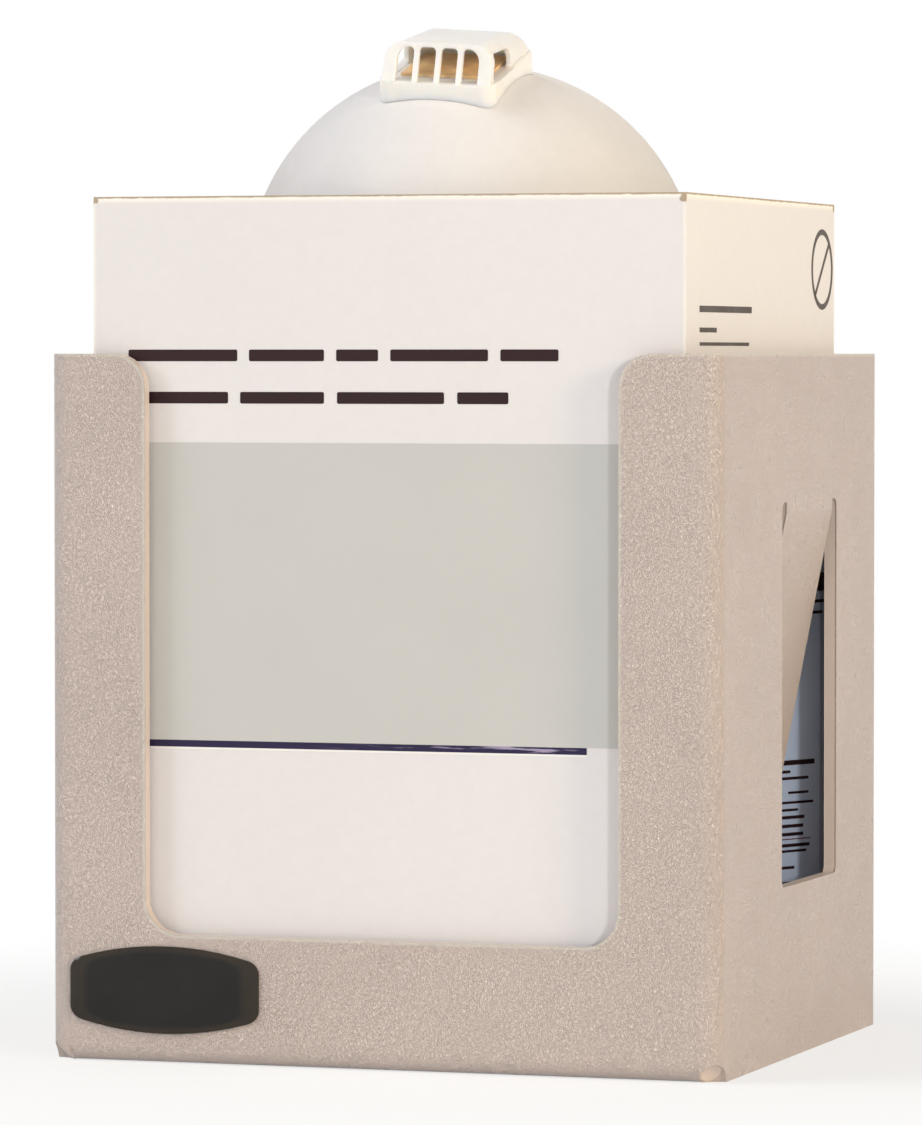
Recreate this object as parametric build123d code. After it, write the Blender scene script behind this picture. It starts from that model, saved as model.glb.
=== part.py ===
"""Face mask dispenser: a folded sheet holder, the carton in it and the masks in the carton.

Frame: +X to the viewer's right, +Y to the wall behind, +Z up. The origin is the middle of
the whole part's footprint, on the surface that it stands on. All sizes are millimetres.
"""

import math
import os

from build123d import *

# Holder: one plastic sheet, folded and bonded at its free edges
holder_width = 163.0
holder_depth = 140.0
holder_height = 165.0
sheet = 3.0
bend_radius = 4.5

# U-shaped cut-out of the front panel
cutout_width = 115.0
cutout_floor = 30.0
cutout_corner = 8.5
upright_corner = 8.0

# Relief holes where the upright bends meet the bottom bend
relief_radius = 6.0
relief_drop = 1.5

# Window in each side panel, with the sprung tongue that steadies the carton
window_front = 52.0
window_length = 48.5
window_floor = 40.3
window_height = 90.0
window_corner = 2.0
slot_width = 4.0
crease_drop = 2.4
tongue_angle = 11.0
tongue_corner = 4.0

# Keyholes in the back panel
keyhole_spacing = 100.0
keyhole_drop = 27.0
keyhole_head_radius = 4.5
keyhole_neck_width = 4.6
keyhole_rise = 9.0

# Domed label on the front panel
badge_width = 46.7
badge_middle_height = 20.4
badge_end_height = 13.1
badge_thickness = 1.4
badge_corner = 2.4
badge_edge = 0.8
badge_side_margin = 5.5
badge_floor_margin = 7.0

# Carton, open at the top
carton_height = 198.5
board = 0.8
carton_side_gap = 6.6
carton_bend_clearance = 0.1
screw_head_room = 3.6

# Dent that each tongue presses into the carton's side
tongue_gap = 0.3
dent_tip_margin = 3.0
dent_spread = 24.0
dent_rise = 22.0
dent_fall = 34.0

# Cup masks, stacked dome up
mask_count = 10
mask_end_gap = 1.4
mask_side_gap = 3.0
barrel_length = 12.0
cup_wall = 2.6
skirt_height = 2.5
rim_width = 4.0
rim_thickness = 1.2
nest_gap = 0.25

# Exhalation valve on each dome
valve_tilt = 18.4
valve_lean = 3.6
valve_width = 26.6
valve_front = 14.6
valve_back = 15.4
valve_setback = 4.0
valve_band_top = 1.4
valve_tail_height = 6.8
valve_rear_run = 3.5
valve_shoulder = 4.6
valve_base_depth = 2.6
valve_wall = 1.2
valve_roof_gap = 0.6
valve_foot = 1.0
valve_foot_corner = 3.0
valve_foot_top = 1.6
seat_top = 1.2
rib_count = 3
rib_thickness = 1.2
louvre_margin = 3.1
louvre_brow = 1.0
louvre_arch = 3.0
louvre_corner = 1.2
arch_share = 0.9
cheek_margin = 2.2
cheek_end = 1.5
port_radius = 7.5
port_bar = 1.4
flap_margin = 1.6
flap_thickness = 0.6
seat_gap = 0.1

# Nose clip
clip_rise_angle = 6.0
clip_width = 5.6
clip_thickness = 0.8
clip_sweep = 92.0

# Head straps, laid on the rim round each dome
strap_width = 6.0
strap_thickness = 0.8
strap_clearance = 1.0
strap_end_gap = 1.5

# Places that follow from the sizes above
front_y = (badge_thickness - holder_depth) / 2
back_y = front_y + holder_depth
side_x = holder_width / 2
inner_bend_radius = bend_radius - sheet

carton_width = holder_width - 2 * (sheet + carton_side_gap)
carton_front_gap = inner_bend_radius + carton_bend_clearance
carton_depth = holder_depth - 2 * sheet - carton_front_gap - screw_head_room
carton_front_y = front_y + sheet + carton_front_gap
carton_middle_y = carton_front_y + carton_depth / 2

crease_z = window_floor + window_height - crease_drop
tongue_width = window_length - 2 * slot_width
tongue_length = window_height - crease_drop - slot_width
tongue_middle_y = front_y + window_front + window_length / 2
tongue_bend = math.radians(tongue_angle)
tongue_reach = tongue_length * math.sin(tongue_bend) + sheet * math.cos(tongue_bend)
tongue_tip_z = crease_z - tongue_length * math.cos(tongue_bend)
dent_depth = tongue_reach + tongue_gap - sheet - carton_side_gap

mask_length_room = carton_depth - 2 * (board + mask_end_gap) - barrel_length
mask_width_room = carton_width - 2 * (board + dent_depth + mask_side_gap)
dome_radius = min(mask_length_room, mask_width_room) / 2 - rim_width
inner_dome_radius = dome_radius - cup_wall
nest_height = math.sqrt(dome_radius**2 - (inner_dome_radius - nest_gap) ** 2)
stack_pitch = nest_height + skirt_height
stack_floor = sheet + board


def placed_box(x_range, y_range, z_range):
    """Box between two corners, given as (low, high) along each axis."""
    size = [high - low for low, high in (x_range, y_range, z_range)]
    middle = [(high + low) / 2 for low, high in (x_range, y_range, z_range)]
    return Pos(*middle) * Box(*size)


def polygon_face(points):
    """Flat face in the XY plane inside straight edges."""
    return make_face(Polyline(*points, close=True))


# Holder

def wall_band():
    """Four upright walls, bent at three corners and bonded at the rear left one."""
    outline = Rectangle(holder_width, holder_depth)
    hollow = Rectangle(holder_width - 2 * sheet, holder_depth - 2 * sheet)

    def bent_corners(sketch):
        corners = sketch.vertices()
        bonded = corners.sort_by(Axis.X)[:2].sort_by(Axis.Y)[-1]
        return [corner for corner in corners if corner != bonded]

    outline = fillet(bent_corners(outline), bend_radius)
    hollow = fillet(bent_corners(hollow), inner_bend_radius)
    plan = Pos(0, front_y + holder_depth / 2) * (outline - hollow)
    return extrude(plan, holder_height)


def floor_flap():
    """Floor, folded back from the front panel and bonded to the other walls."""
    inside_x = side_x - sheet / 2
    inside_y = (front_y + sheet / 2, back_y - sheet / 2)
    return placed_box((-inside_x, inside_x), inside_y, (0, sheet))


def bottom_bend_waste():
    """Square edge that the bottom bend's outer round takes away."""
    reach = side_x - relief_radius + 1
    corner = placed_box((-reach, reach), (front_y - 1, front_y + bend_radius), (-1, bend_radius))
    round_bar = Cylinder(bend_radius, 2 * reach + 2, rotation=(0, 90, 0))
    return corner - Pos(0, front_y + bend_radius, bend_radius) * round_bar


def inner_bottom_bend():
    """Material that rounds the inner corner between front panel and floor."""
    reach = side_x - sheet / 2
    low_y = front_y + sheet - 0.5
    low_z = sheet - 0.5
    high_y = front_y + sheet + inner_bend_radius
    high_z = sheet + inner_bend_radius
    corner = placed_box((-reach, reach), (low_y, high_y), (low_z, high_z))
    round_bar = Cylinder(inner_bend_radius, 2 * reach + 2, rotation=(0, 90, 0))
    return corner - Pos(0, high_y, high_z) * round_bar


def front_cutout():
    """U-shaped opening of the front panel, open at the top."""
    height = holder_height - cutout_floor + 1
    opening = Pos(0, cutout_floor + height / 2) * Rectangle(cutout_width, height)
    low_corners = opening.vertices().sort_by(Axis.Y)[:2]
    opening = fillet(low_corners, cutout_corner)
    half = cutout_width / 2
    flare = upright_corner
    for side in (-1, 1):
        edge_x = side * half
        square = Pos(edge_x + side * flare / 2, holder_height - flare / 2) * Rectangle(flare, flare)
        disc = Pos(edge_x + side * flare, holder_height - flare) * Circle(flare)
        opening += square - disc
    plane = Plane(origin=(0, front_y + 2 * sheet, 0), x_dir=(1, 0, 0), z_dir=(0, -1, 0))
    return extrude(plane * opening, 3 * sheet)


def side_window(side):
    """Through hole of one side panel, before its tongue is put back."""
    outline = Rectangle(window_length, window_height)
    outline = fillet(outline.vertices(), window_corner)
    plane = Plane(
        origin=(side * (side_x + sheet), tongue_middle_y, window_floor + window_height / 2),
        x_dir=(0, 1, 0),
        z_dir=(-side, 0, 0),
    )
    return extrude(plane * outline, 3 * sheet)


def tongue(side):
    """Sprung tongue, bent inwards at its crease, with the root that joins it to the panel."""
    root_top = window_floor + window_height + window_corner
    root_x = sorted((side * side_x, side * (side_x - sheet)))
    half_width = tongue_width / 2
    root_y = (tongue_middle_y - half_width, tongue_middle_y + half_width)
    root = placed_box(root_x, root_y, (crease_z, root_top))
    plate = Pos(-side * sheet / 2, 0, -tongue_length / 2) * Box(sheet, tongue_width, tongue_length)
    tip_edges = plate.edges().filter_by(Axis.X).sort_by(Axis.Z)[:2]
    plate = fillet(tip_edges, tongue_corner)
    bent = Pos(side * side_x, tongue_middle_y, crease_z) * Rot(0, side * tongue_angle, 0) * plate
    return root + bent


def keyholes():
    """Two keyholes of the back panel: a round entry below a narrow neck."""
    one = Circle(keyhole_head_radius)
    one += Pos(0, keyhole_rise / 2) * Rectangle(keyhole_neck_width, keyhole_rise)
    one += Pos(0, keyhole_rise) * Circle(keyhole_neck_width / 2)
    half = keyhole_spacing / 2
    height = holder_height - keyhole_drop
    pair = Pos(-half, height) * one + Pos(half, height) * one
    plane = Plane(origin=(0, back_y + sheet, 0), x_dir=(1, 0, 0), z_dir=(0, -1, 0))
    return extrude(plane * pair, 3 * sheet)


def holder():
    """Whole folded sheet as one solid."""
    body = wall_band() + floor_flap() + inner_bottom_bend()
    body -= bottom_bend_waste()
    for side in (-1, 1):
        body -= Pos(side * side_x, front_y, -relief_drop) * Sphere(relief_radius)
    body -= front_cutout()
    body -= keyholes()
    for side in (-1, 1):
        body -= side_window(side)
        body += tongue(side)
    return body


# Badge

def badge():
    """Label with bowed long edges and a rounded face edge."""
    half = badge_width / 2
    end = badge_end_height / 2
    middle = badge_middle_height / 2
    outline = make_face(
        [
            ThreePointArc((-half, end), (0, middle), (half, end)),
            Line((half, end), (half, -end)),
            ThreePointArc((half, -end), (0, -middle), (-half, -end)),
            Line((-half, -end), (-half, end)),
        ]
    )
    outline = fillet(outline.vertices(), badge_corner)
    plane = Plane(
        origin=(-side_x + badge_side_margin + half, front_y, badge_floor_margin + middle),
        x_dir=(1, 0, 0),
        z_dir=(0, -1, 0),
    )
    label = extrude(plane * outline, badge_thickness)
    face = label.faces().sort_by(Axis.Y)[0]
    return fillet(face.edges(), badge_edge)


# Carton

def side_dent(side, inset):
    """Shallow hipped hollow in the carton's side, behind one tongue."""
    plane_x = side * (carton_width / 2 - inset)
    tip_height = 2 * dent_tip_margin
    tip_y = tongue_width + 2 * dent_tip_margin
    base_low = tongue_tip_z - dent_fall
    base_high = crease_z + dent_rise

    def outline(depth, size_y, low, high):
        plane = Plane(
            origin=(plane_x - side * depth, tongue_middle_y, (low + high) / 2),
            x_dir=(0, 1, 0),
            z_dir=(1, 0, 0),
        )
        return plane * Rectangle(size_y, high - low)

    mouth = outline(0, tongue_width + 2 * dent_spread, base_low, base_high)
    tip = outline(dent_depth, tip_y, tongue_tip_z - tip_height / 2, tongue_tip_z + tip_height / 2)
    return loft([mouth, tip], ruled=True)


def carton():
    """Open-topped carton, one folded board, pressed in at both sides."""
    half = carton_width / 2
    low_y = carton_front_y
    high_y = carton_front_y + carton_depth
    top = sheet + carton_height
    outer = placed_box((-half, half), (low_y, high_y), (sheet, top))
    inner_half = half - board
    inner_y = (low_y + board, high_y - board)
    inner = placed_box((-inner_half, inner_half), inner_y, (sheet + board, top + 1))
    for side in (-1, 1):
        outer -= side_dent(side, 0)
        inner -= side_dent(side, board)
    return outer - inner


# Masks

def cup_section():
    """Half section of a cup's wall, in the XZ plane, from its axis outwards."""
    outer = dome_radius
    inner = inner_dome_radius
    slant = math.sqrt(0.5)
    edges = [
        Line((0, skirt_height + inner), (0, skirt_height + outer)),
        ThreePointArc(
            (0, skirt_height + outer),
            (outer * slant, skirt_height + outer * slant),
            (outer, skirt_height),
        ),
        Line((outer, skirt_height), (outer, rim_thickness)),
        Line((outer, rim_thickness), (outer + rim_width, rim_thickness)),
        Line((outer + rim_width, rim_thickness), (outer + rim_width, 0)),
        Line((outer + rim_width, 0), (inner, 0)),
        Line((inner, 0), (inner, skirt_height)),
        ThreePointArc(
            (inner, skirt_height),
            (inner * slant, skirt_height + inner * slant),
            (0, skirt_height + inner),
        ),
    ]
    return Plane.XZ * make_face(edges)


def valve_place():
    """Frame of a valve: its origin is the front dome's centre and its Z leaves the dome."""
    centre = Pos(0, -barrel_length / 2, skirt_height)
    return centre * Rot(0, valve_lean, 0) * Rot(valve_tilt, 0, 0)


def cup():
    """Moulded cup: a dome with a straight barrel, a skirt, a welded rim and the valve's port."""
    section = Pos(0, barrel_length / 2, 0) * cup_section()
    turn_axis = Axis((0, barrel_length / 2, 0), (0, 0, 1))
    back_end = revolve(section, turn_axis, 180)
    right_side = extrude(section, barrel_length, dir=(0, -1, 0))
    back_right = back_end + right_side
    shell = back_right + Rot(0, 0, 180) * back_right
    port = Pos(0, 0, dome_radius) * Cylinder(port_radius, dome_radius / 2)
    return shell - valve_place() * port


def valve_profile():
    """Side view of the valve's housing: front band, leaning louvres, falling roof, steep tail."""
    rest = dome_radius - valve_wall
    band = dome_radius + valve_band_top
    upper_dome = Pos(0, -barrel_length / 2, skirt_height + stack_pitch)
    upper_centre = (valve_place().inverse() * upper_dome).position
    lip_y = valve_setback - valve_front
    clear_radius = inner_dome_radius - valve_roof_gap
    side_reach = valve_width / 2 + abs(upper_centre.X)
    rise = math.sqrt(clear_radius**2 - side_reach**2 - (lip_y - upper_centre.Y) ** 2)
    roof = upper_centre.Z + rise
    tail = valve_back - valve_rear_run
    return [
        (-valve_front, rest - valve_base_depth),
        (-valve_front, band),
        (lip_y, roof),
        (tail, dome_radius + valve_tail_height),
        (valve_back, dome_radius),
        (valve_back, rest - valve_base_depth),
    ]


def across(face, width):
    """Solid of the given width along X from a face drawn with its X as Y and its Y as Z."""
    plane = Plane(origin=(-width / 2, 0, 0), x_dir=(0, 1, 0), z_dir=(1, 0, 0))
    return extrude(plane * face, width)


def valve_block(face, width, shoulder):
    """Housing shape with rounded long roof edges."""
    block = across(face, width)
    roof = block.faces().sort_by(Axis.Z)[-1]
    roof_sides = [edge for edge in roof.edges() if abs(edge.tangent_at(0.5).X) < 0.5]
    return fillet(roof_sides, shoulder)


def valve_cover():
    """Valve housing: seat with barred port, band, louvred front and roof."""
    profile = polygon_face(valve_profile())
    cavity_face = offset(profile, -valve_wall, kind=Kind.INTERSECTION)
    housing = valve_block(profile, valve_width, valve_shoulder)
    cavity_width = valve_width - 2 * valve_wall
    cavity = valve_block(cavity_face, cavity_width, valve_shoulder - valve_wall)
    seat_z = dome_radius + seat_top
    reach = valve_front + valve_back
    below_seat = placed_box((-reach, reach), (-reach, reach), (0, seat_z))
    foot_length = valve_front + valve_back + 2 * valve_foot
    foot_plan = fillet(
        Rectangle(valve_width + 2 * valve_foot, foot_length).vertices(), valve_foot_corner
    )
    foot_middle = (valve_back - valve_front) / 2
    foot_low = dome_radius - valve_wall - valve_base_depth
    foot_height = dome_radius + valve_foot_top - foot_low
    foot = extrude(Pos(0, foot_middle, foot_low) * foot_plan, foot_height)
    body = housing + foot - (cavity - below_seat)
    body -= louvre_gaps()
    body -= cheek_opening(profile)
    body -= Sphere(dome_radius + seat_gap)
    port = Pos(0, 0, dome_radius) * Cylinder(port_radius, 4 * valve_wall)
    bar_length = 2 * port_radius
    bars = Box(bar_length, port_bar, 3 * dome_radius) + Box(port_bar, bar_length, 3 * dome_radius)
    return body - (port - bars)


def louvre_gaps():
    """Openings between the ribs, through the leaning front, under the roof's rounded ends."""
    span = valve_width - 2 * louvre_margin
    gap_count = rib_count + 1
    gap = (span - rib_count * rib_thickness) / gap_count
    lip_y, roof = valve_profile()[2]
    low = dome_radius + valve_band_top
    height = roof - louvre_brow - low
    arch = min(louvre_arch, arch_share * height)
    under_roof = Rectangle(span, height)
    under_roof = fillet(under_roof.vertices().sort_by(Axis.Y)[-2:], arch)
    slot = Rectangle(gap, height)
    slot = fillet(slot.vertices().sort_by(Axis.Y)[-2:], min(louvre_corner, arch))
    plane = Plane(origin=(0, lip_y + valve_wall, low + height / 2), x_dir=(1, 0, 0), z_dir=(0, -1, 0))
    depth = valve_front + lip_y + valve_wall + 1
    gaps = []
    for index in range(gap_count):
        middle = (index - rib_count / 2) * (gap + rib_thickness)
        gaps.append(extrude(plane * (under_roof & Pos(middle, 0) * slot), depth))
    return gaps


def cheek_opening(profile):
    """Opening through both cheeks, behind the corner posts and under the roof."""
    low = dome_radius + valve_band_top
    length = cheek_end + valve_front
    inner = offset(profile, -cheek_margin, kind=Kind.INTERSECTION)
    window = inner & Pos((cheek_end - valve_front) / 2, low + length / 2) * Rectangle(length, length)
    return across(fillet(window.vertices(), louvre_corner), 2 * valve_width)


def valve_flap():
    """Thin flap lying on the seat over the port."""
    seat_z = dome_radius + seat_top
    width = valve_width - 2 * (valve_wall + flap_margin)
    length = 2 * (port_radius + flap_margin)
    return Pos(0, 0, seat_z + flap_thickness / 2) * Box(width, length, flap_thickness)


def nose_clip():
    """Soft metal strip curved over the nose end of the dome."""
    inner = dome_radius + seat_gap
    outer = inner + clip_thickness
    low = math.asin(nest_height / dome_radius) + math.radians(clip_rise_angle)
    high = low + clip_width / inner
    middle = (low + high) / 2

    def at(radius, angle):
        return (radius * math.cos(angle), radius * math.sin(angle))

    edges = [
        ThreePointArc(at(inner, low), at(inner, middle), at(inner, high)),
        Line(at(inner, high), at(outer, high)),
        ThreePointArc(at(outer, high), at(outer, middle), at(outer, low)),
        Line(at(outer, low), at(inner, low)),
    ]
    strip = revolve(Plane.XZ * make_face(edges), Axis.Z, clip_sweep)
    middle_turn = math.degrees(math.atan2(strip.center().Y, strip.center().X))
    turned = Rot(0, 0, 90 - middle_turn) * strip
    return Pos(0, barrel_length / 2, skirt_height) * turned


def head_straps():
    """Front and back strap, two flat bands laid on the rim round the dome."""
    inner = dome_radius + strap_clearance
    outer = inner + strap_thickness
    ring = SlotCenterToCenter(barrel_length, 2 * outer, rotation=90)
    ring -= SlotCenterToCenter(barrel_length, 2 * inner, rotation=90)
    ring -= Rectangle(3 * outer, 2 * strap_end_gap)
    return Pos(0, 0, rim_thickness) * extrude(ring, strap_width)


def numbered(shapes, index):
    """One mask's pieces at its place in the stack, under numbered names."""
    place = Pos(0, carton_middle_y, stack_floor + (index - 1) * stack_pitch)
    return {f"{name}_{index:02d}": place * shape for name, shape in shapes.items()}


def all_parts():
    """Every piece under its name."""
    parts = {"sheet_holder": holder(), "front_badge": badge(), "carton": carton()}
    place = valve_place()
    mask = {
        "mask_cup": cup(),
        "valve_cover": place * valve_cover(),
        "valve_flap": place * valve_flap(),
        "nose_clip": nose_clip(),
        "head_straps": head_straps(),
    }
    for index in range(1, mask_count + 1):
        parts.update(numbered(mask, index))
    return parts


def main():
    os.makedirs("parts", exist_ok=True)
    for name, shape in all_parts().items():
        export_step(shape, f"parts/{name}.step")


main()
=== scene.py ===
"""Looks of the face mask dispenser: finishes of its parts and the pieces that replace soft ones.

The file is laid out as an add-on and is run as a script. All lengths are metres, in the frame
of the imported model: +X to the viewer's right, +Y to the wall behind, +Z up.
"""

import math

import bmesh
import bpy
from bpy.props import FloatProperty, FloatVectorProperty, PointerProperty
from bpy.types import Operator, Panel, PropertyGroup
from mathutils import Matrix, Vector


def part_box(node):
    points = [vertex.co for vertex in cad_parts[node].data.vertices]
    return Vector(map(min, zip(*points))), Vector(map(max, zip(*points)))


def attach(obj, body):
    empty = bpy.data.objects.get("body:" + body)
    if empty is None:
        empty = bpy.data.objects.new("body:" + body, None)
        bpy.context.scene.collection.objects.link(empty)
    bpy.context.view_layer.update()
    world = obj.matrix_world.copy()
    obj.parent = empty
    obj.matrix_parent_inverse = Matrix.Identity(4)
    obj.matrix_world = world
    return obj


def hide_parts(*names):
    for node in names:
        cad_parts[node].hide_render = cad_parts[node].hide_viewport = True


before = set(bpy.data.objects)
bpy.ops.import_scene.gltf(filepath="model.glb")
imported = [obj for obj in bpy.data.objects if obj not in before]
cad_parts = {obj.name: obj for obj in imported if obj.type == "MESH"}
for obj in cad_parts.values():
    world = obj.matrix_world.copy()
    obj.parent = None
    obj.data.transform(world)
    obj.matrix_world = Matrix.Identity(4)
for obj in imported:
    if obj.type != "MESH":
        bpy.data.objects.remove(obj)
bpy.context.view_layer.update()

bl_info = {
    "name": "Face mask dispenser looks",
    "version": (1, 0, 0),
    "blender": (4, 5, 0),
    "location": "View3D > Sidebar > Dispenser",
    "description": "Dresses a folded sheet holder, its carton and its cup masks",
    "category": "Object",
}

MM = 0.001
MASK_NUMBERS = [f"{index:02d}" for index in range(1, 11)]
TOP_MASK = MASK_NUMBERS[-1]

HOLDER_LOW, HOLDER_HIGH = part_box("sheet_holder")
CARTON_LOW, CARTON_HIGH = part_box("carton")
BADGE_LOW, BADGE_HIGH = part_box("front_badge")
CUP_LOW, CUP_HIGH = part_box("mask_cup_" + TOP_MASK)

# Forms of the solids that a box doesn't tell
SHEET = 3 * MM
BEND_RADIUS = 4.5 * MM
CREASE_HEIGHT = 127.9 * MM
CUTOUT_HALF_WIDTH = 57.5 * MM
CUTOUT_FLOOR = 30 * MM
CUTOUT_CORNER = 8.5 * MM
UPRIGHT_CORNER = 8 * MM
# Width of the painted highlight along the sheet's trimmed rims
RIM_HIGHLIGHT_WIDTH = 0.9 * MM
TONGUE_ANGLE = math.radians(11)
TONGUE_HALF_WIDTH = 20.3 * MM
TONGUE_MIDDLE = 6.95 * MM
TONGUE_LOWEST = 43 * MM
BOARD = 0.8 * MM
BADGE_END_HEIGHT = 13.1 * MM
BADGE_CORNER = 2.4 * MM
BADGE_LINE_INSET = 1.6 * MM
BADGE_CROWN = [
    step * MM for step in (0, 0.08, 0.2, 0.35, 0.55, 0.8, 1.15, 1.6, 1.85, 2.3, 3, 4, 5)
]
CUP_RIM_WIDTH = 4 * MM
CUP_RIM_THICKNESS = 1.2 * MM
CUP_WALL = 2.6 * MM
VALVE_TILT = math.radians(18.4)
VALVE_LEAN = math.radians(3.6)
PORT_RADIUS = 7.5 * MM
STRAP_CLEARANCE = 1 * MM
STRAP_THICKNESS = 0.8 * MM
STRAP_WIDTH = 6 * MM
STRAP_END_GAP = 1.5 * MM

# Print on the carton's front: distance from its left edge, height over its foot, length
WORD_ROWS = [
    (161.6, [(8.7, 27.0), (38.6, 18.4), (60.0, 10.2), (73.2, 23.6), (99.8, 13.9)]),
    (151.8, [(9.4, 24.0), (36.4, 20.6), (60.2, 26.0), (89.4, 12.3)]),
]
FIELD_SIDES = (10.8, 129.0)
FIELD_HEIGHTS = (72.2, 141.4)
BAND_SIDES = (10.8, 120.5)
BAND_HEIGHTS = (70.6, 72.2)
HAIRLINE_HEIGHTS = (70.1, 70.6)

# Print on the carton's right side: distance from its front edge, height over its foot, length
SIDE_ROWS = [(11.3, 172.2, 43.4, 1.5), (11.3, 167.4, 14.0, 1.1), (11.4, 164.2, 41.0, 0.8)]
RING_CENTRE = (117.4, 182.5)
RING_RADIUS = 9.8
RING_STROKE = 1.4
WINDOW_ROWS = [
    (94.0, 62.8, 20.1, 1.2), (94.0, 60.6, 11.8, 0.7), (94.0, 59.0, 18.0, 0.7), (105.1, 55.5, 6.9, 0.6),
    (94.0, 53.1, 19.7, 0.6), (94.0, 51.3, 14.5, 0.6), (94.0, 49.5, 16.6, 0.8), (94.0, 47.4, 16.2, 0.8),
    (94.0, 45.4, 16.2, 0.8), (94.0, 42.7, 18.4, 0.8), (94.0, 41.3, 17.3, 0.6), (94.0, 37.3, 13.2, 0.7),
    (94.0, 33.3, 13.6, 1.2), (113.9, 106.5, 8.0, 4.4), (112.5, 101.8, 7.0, 0.7), (112.2, 99.1, 6.0, 0.7),
]
WINDOW_RULE = (94.0, 44.2, 18.7, 0.25)
SIDE_TINT_TOP = 128 * MM
SIDE_TINT_FRONT = 24 * MM

# Camera, fitted to the edges of the holder and the carton
CAMERA_PLACE = (0.47657, -1.43665, 0.16436)
CAMERA_TURN = (math.radians(88.132), 0, math.radians(18.467))
CAMERA_LENS = 202.2


class DispenserSizes(PropertyGroup):
    """Sizes of the surface detail."""

    grain_width: FloatProperty(
        name="Grain width", description="Width of one cell of the sheet's grain",
        default=0.6 * MM, unit="LENGTH", precision=6)
    grain_length: FloatProperty(
        name="Grain length", description="Upright length of one cell of the sheet's grain",
        default=0.85 * MM, unit="LENGTH", precision=6)
    grain_depth: FloatProperty(
        name="Grain depth", description="Depth of the sheet's grain",
        default=0.22 * MM, unit="LENGTH", precision=6)
    fibre_size: FloatProperty(
        name="Fibre size", description="Size of the masks' fibre tufts",
        default=0.5 * MM, unit="LENGTH", precision=6)
    ink_thickness: FloatProperty(
        name="Ink thickness", description="Height of the print over the board",
        default=0.05 * MM, unit="LENGTH", precision=6)
    word_height: FloatProperty(
        name="Word height", description="Height of a word's bar on the carton's front",
        default=2.7 * MM, unit="LENGTH", precision=6)


class DispenserColours(PropertyGroup):
    """Colours of the finishes, in linear light."""

    sheet: FloatVectorProperty(
        name="Sheet", description="Textured plastic sheet", subtype="COLOR",
        default=(0.72, 0.61, 0.565), min=0, max=1)
    # Own tone of the sawn faces, darkened to stand for the shade that falls in the relief notches at the bottom
    # corners
    sheet_cut_and_notch_shade: FloatVectorProperty(
        name="Cut sheet", description="Sawn faces of the sheet", subtype="COLOR",
        default=(0.6, 0.51, 0.46), min=0, max=1)
    # Colour of the painted highlight along the sheet's trimmed rims
    sheet_rim_highlight: FloatVectorProperty(
        name="Sheet rim", description="Rounded edges where the sheet is trimmed", subtype="COLOR",
        default=(0.84, 0.79, 0.72), min=0, max=1)
    badge: FloatVectorProperty(
        name="Badge", description="Resin label", subtype="COLOR",
        default=(0.008, 0.007, 0.006), min=0, max=1)
    # Colour of the painted reflection along the label's crowned edge
    badge_edge_reflection: FloatVectorProperty(
        name="Badge edge", description="Lighter edge of the resin label", subtype="COLOR",
        default=(0.024, 0.017, 0.011), min=0, max=1)
    badge_line: FloatVectorProperty(
        name="Badge line", description="Line round the label", subtype="COLOR",
        default=(0.2, 0.185, 0.16), min=0, max=1)
    board: FloatVectorProperty(
        name="Coated board", description="Carton's coated outside", subtype="COLOR",
        default=(0.79, 0.763, 0.765), min=0, max=1)
    board_inside: FloatVectorProperty(
        name="Bare board", description="Carton's bare inside", subtype="COLOR",
        default=(0.46, 0.39, 0.31), min=0, max=1)
    board_worn: FloatVectorProperty(
        name="Worn board", description="Rubbed corners and raw edges", subtype="COLOR",
        default=(0.36, 0.26, 0.16), min=0, max=1)
    board_tint: FloatVectorProperty(
        name="Board tint", description="Pale field low on the carton's sides", subtype="COLOR",
        default=(0.66, 0.76, 0.92), min=0, max=1)
    words: FloatVectorProperty(
        name="Words", description="Dark print", subtype="COLOR",
        default=(0.025, 0.008, 0.01), min=0, max=1)
    small_words: FloatVectorProperty(
        name="Small words", description="Brownish print on the carton's side", subtype="COLOR",
        default=(0.06, 0.042, 0.028), min=0, max=1)
    field: FloatVectorProperty(
        name="Field", description="Grey printed field", subtype="COLOR",
        default=(0.575, 0.57, 0.55), min=0, max=1)
    band: FloatVectorProperty(
        name="Band", description="Dark band under the field", subtype="COLOR",
        default=(0.022, 0.016, 0.055), min=0, max=1)
    rule: FloatVectorProperty(
        name="Rule", description="Red line on the carton's side", subtype="COLOR",
        default=(0.16, 0.02, 0.02), min=0, max=1)
    fleece: FloatVectorProperty(
        name="Fleece", description="Masks' outer layer", subtype="COLOR",
        default=(0.81, 0.79, 0.79), min=0, max=1)
    valve: FloatVectorProperty(
        name="Valve", description="Moulded valve housing", subtype="COLOR",
        default=(0.93, 0.91, 0.88), min=0, max=1)
    flap: FloatVectorProperty(
        name="Flap", description="Amber flap of the valve", subtype="COLOR",
        default=(0.93, 0.62, 0.33), min=0, max=1)
    strap: FloatVectorProperty(
        name="Strap", description="Elastic of the head straps", subtype="COLOR",
        default=(0.78, 0.7, 0.42), min=0, max=1)
    clip: FloatVectorProperty(
        name="Clip", description="Metal of the nose clips", subtype="COLOR",
        default=(0.72, 0.72, 0.74), min=0, max=1)


def sizes():
    return bpy.context.scene.dispenser_sizes


def colours():
    return bpy.context.scene.dispenser_colours


# Modelling


def only(piece):
    """Makes one object the only selected and the active one."""
    bpy.ops.object.select_all(action="DESELECT")
    piece.select_set(True)
    bpy.context.view_layer.objects.active = piece


def added(name):
    """The object that an operator has just added, under its name."""
    piece = bpy.context.object
    piece.name = name
    piece.data.name = name
    return piece


def edit(piece, select=None):
    """Opens a mesh in edit mode, with the given kind of element selected."""
    only(piece)
    bpy.ops.object.mode_set(mode="EDIT")
    bpy.ops.mesh.select_mode(type=select or "VERT")


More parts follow.
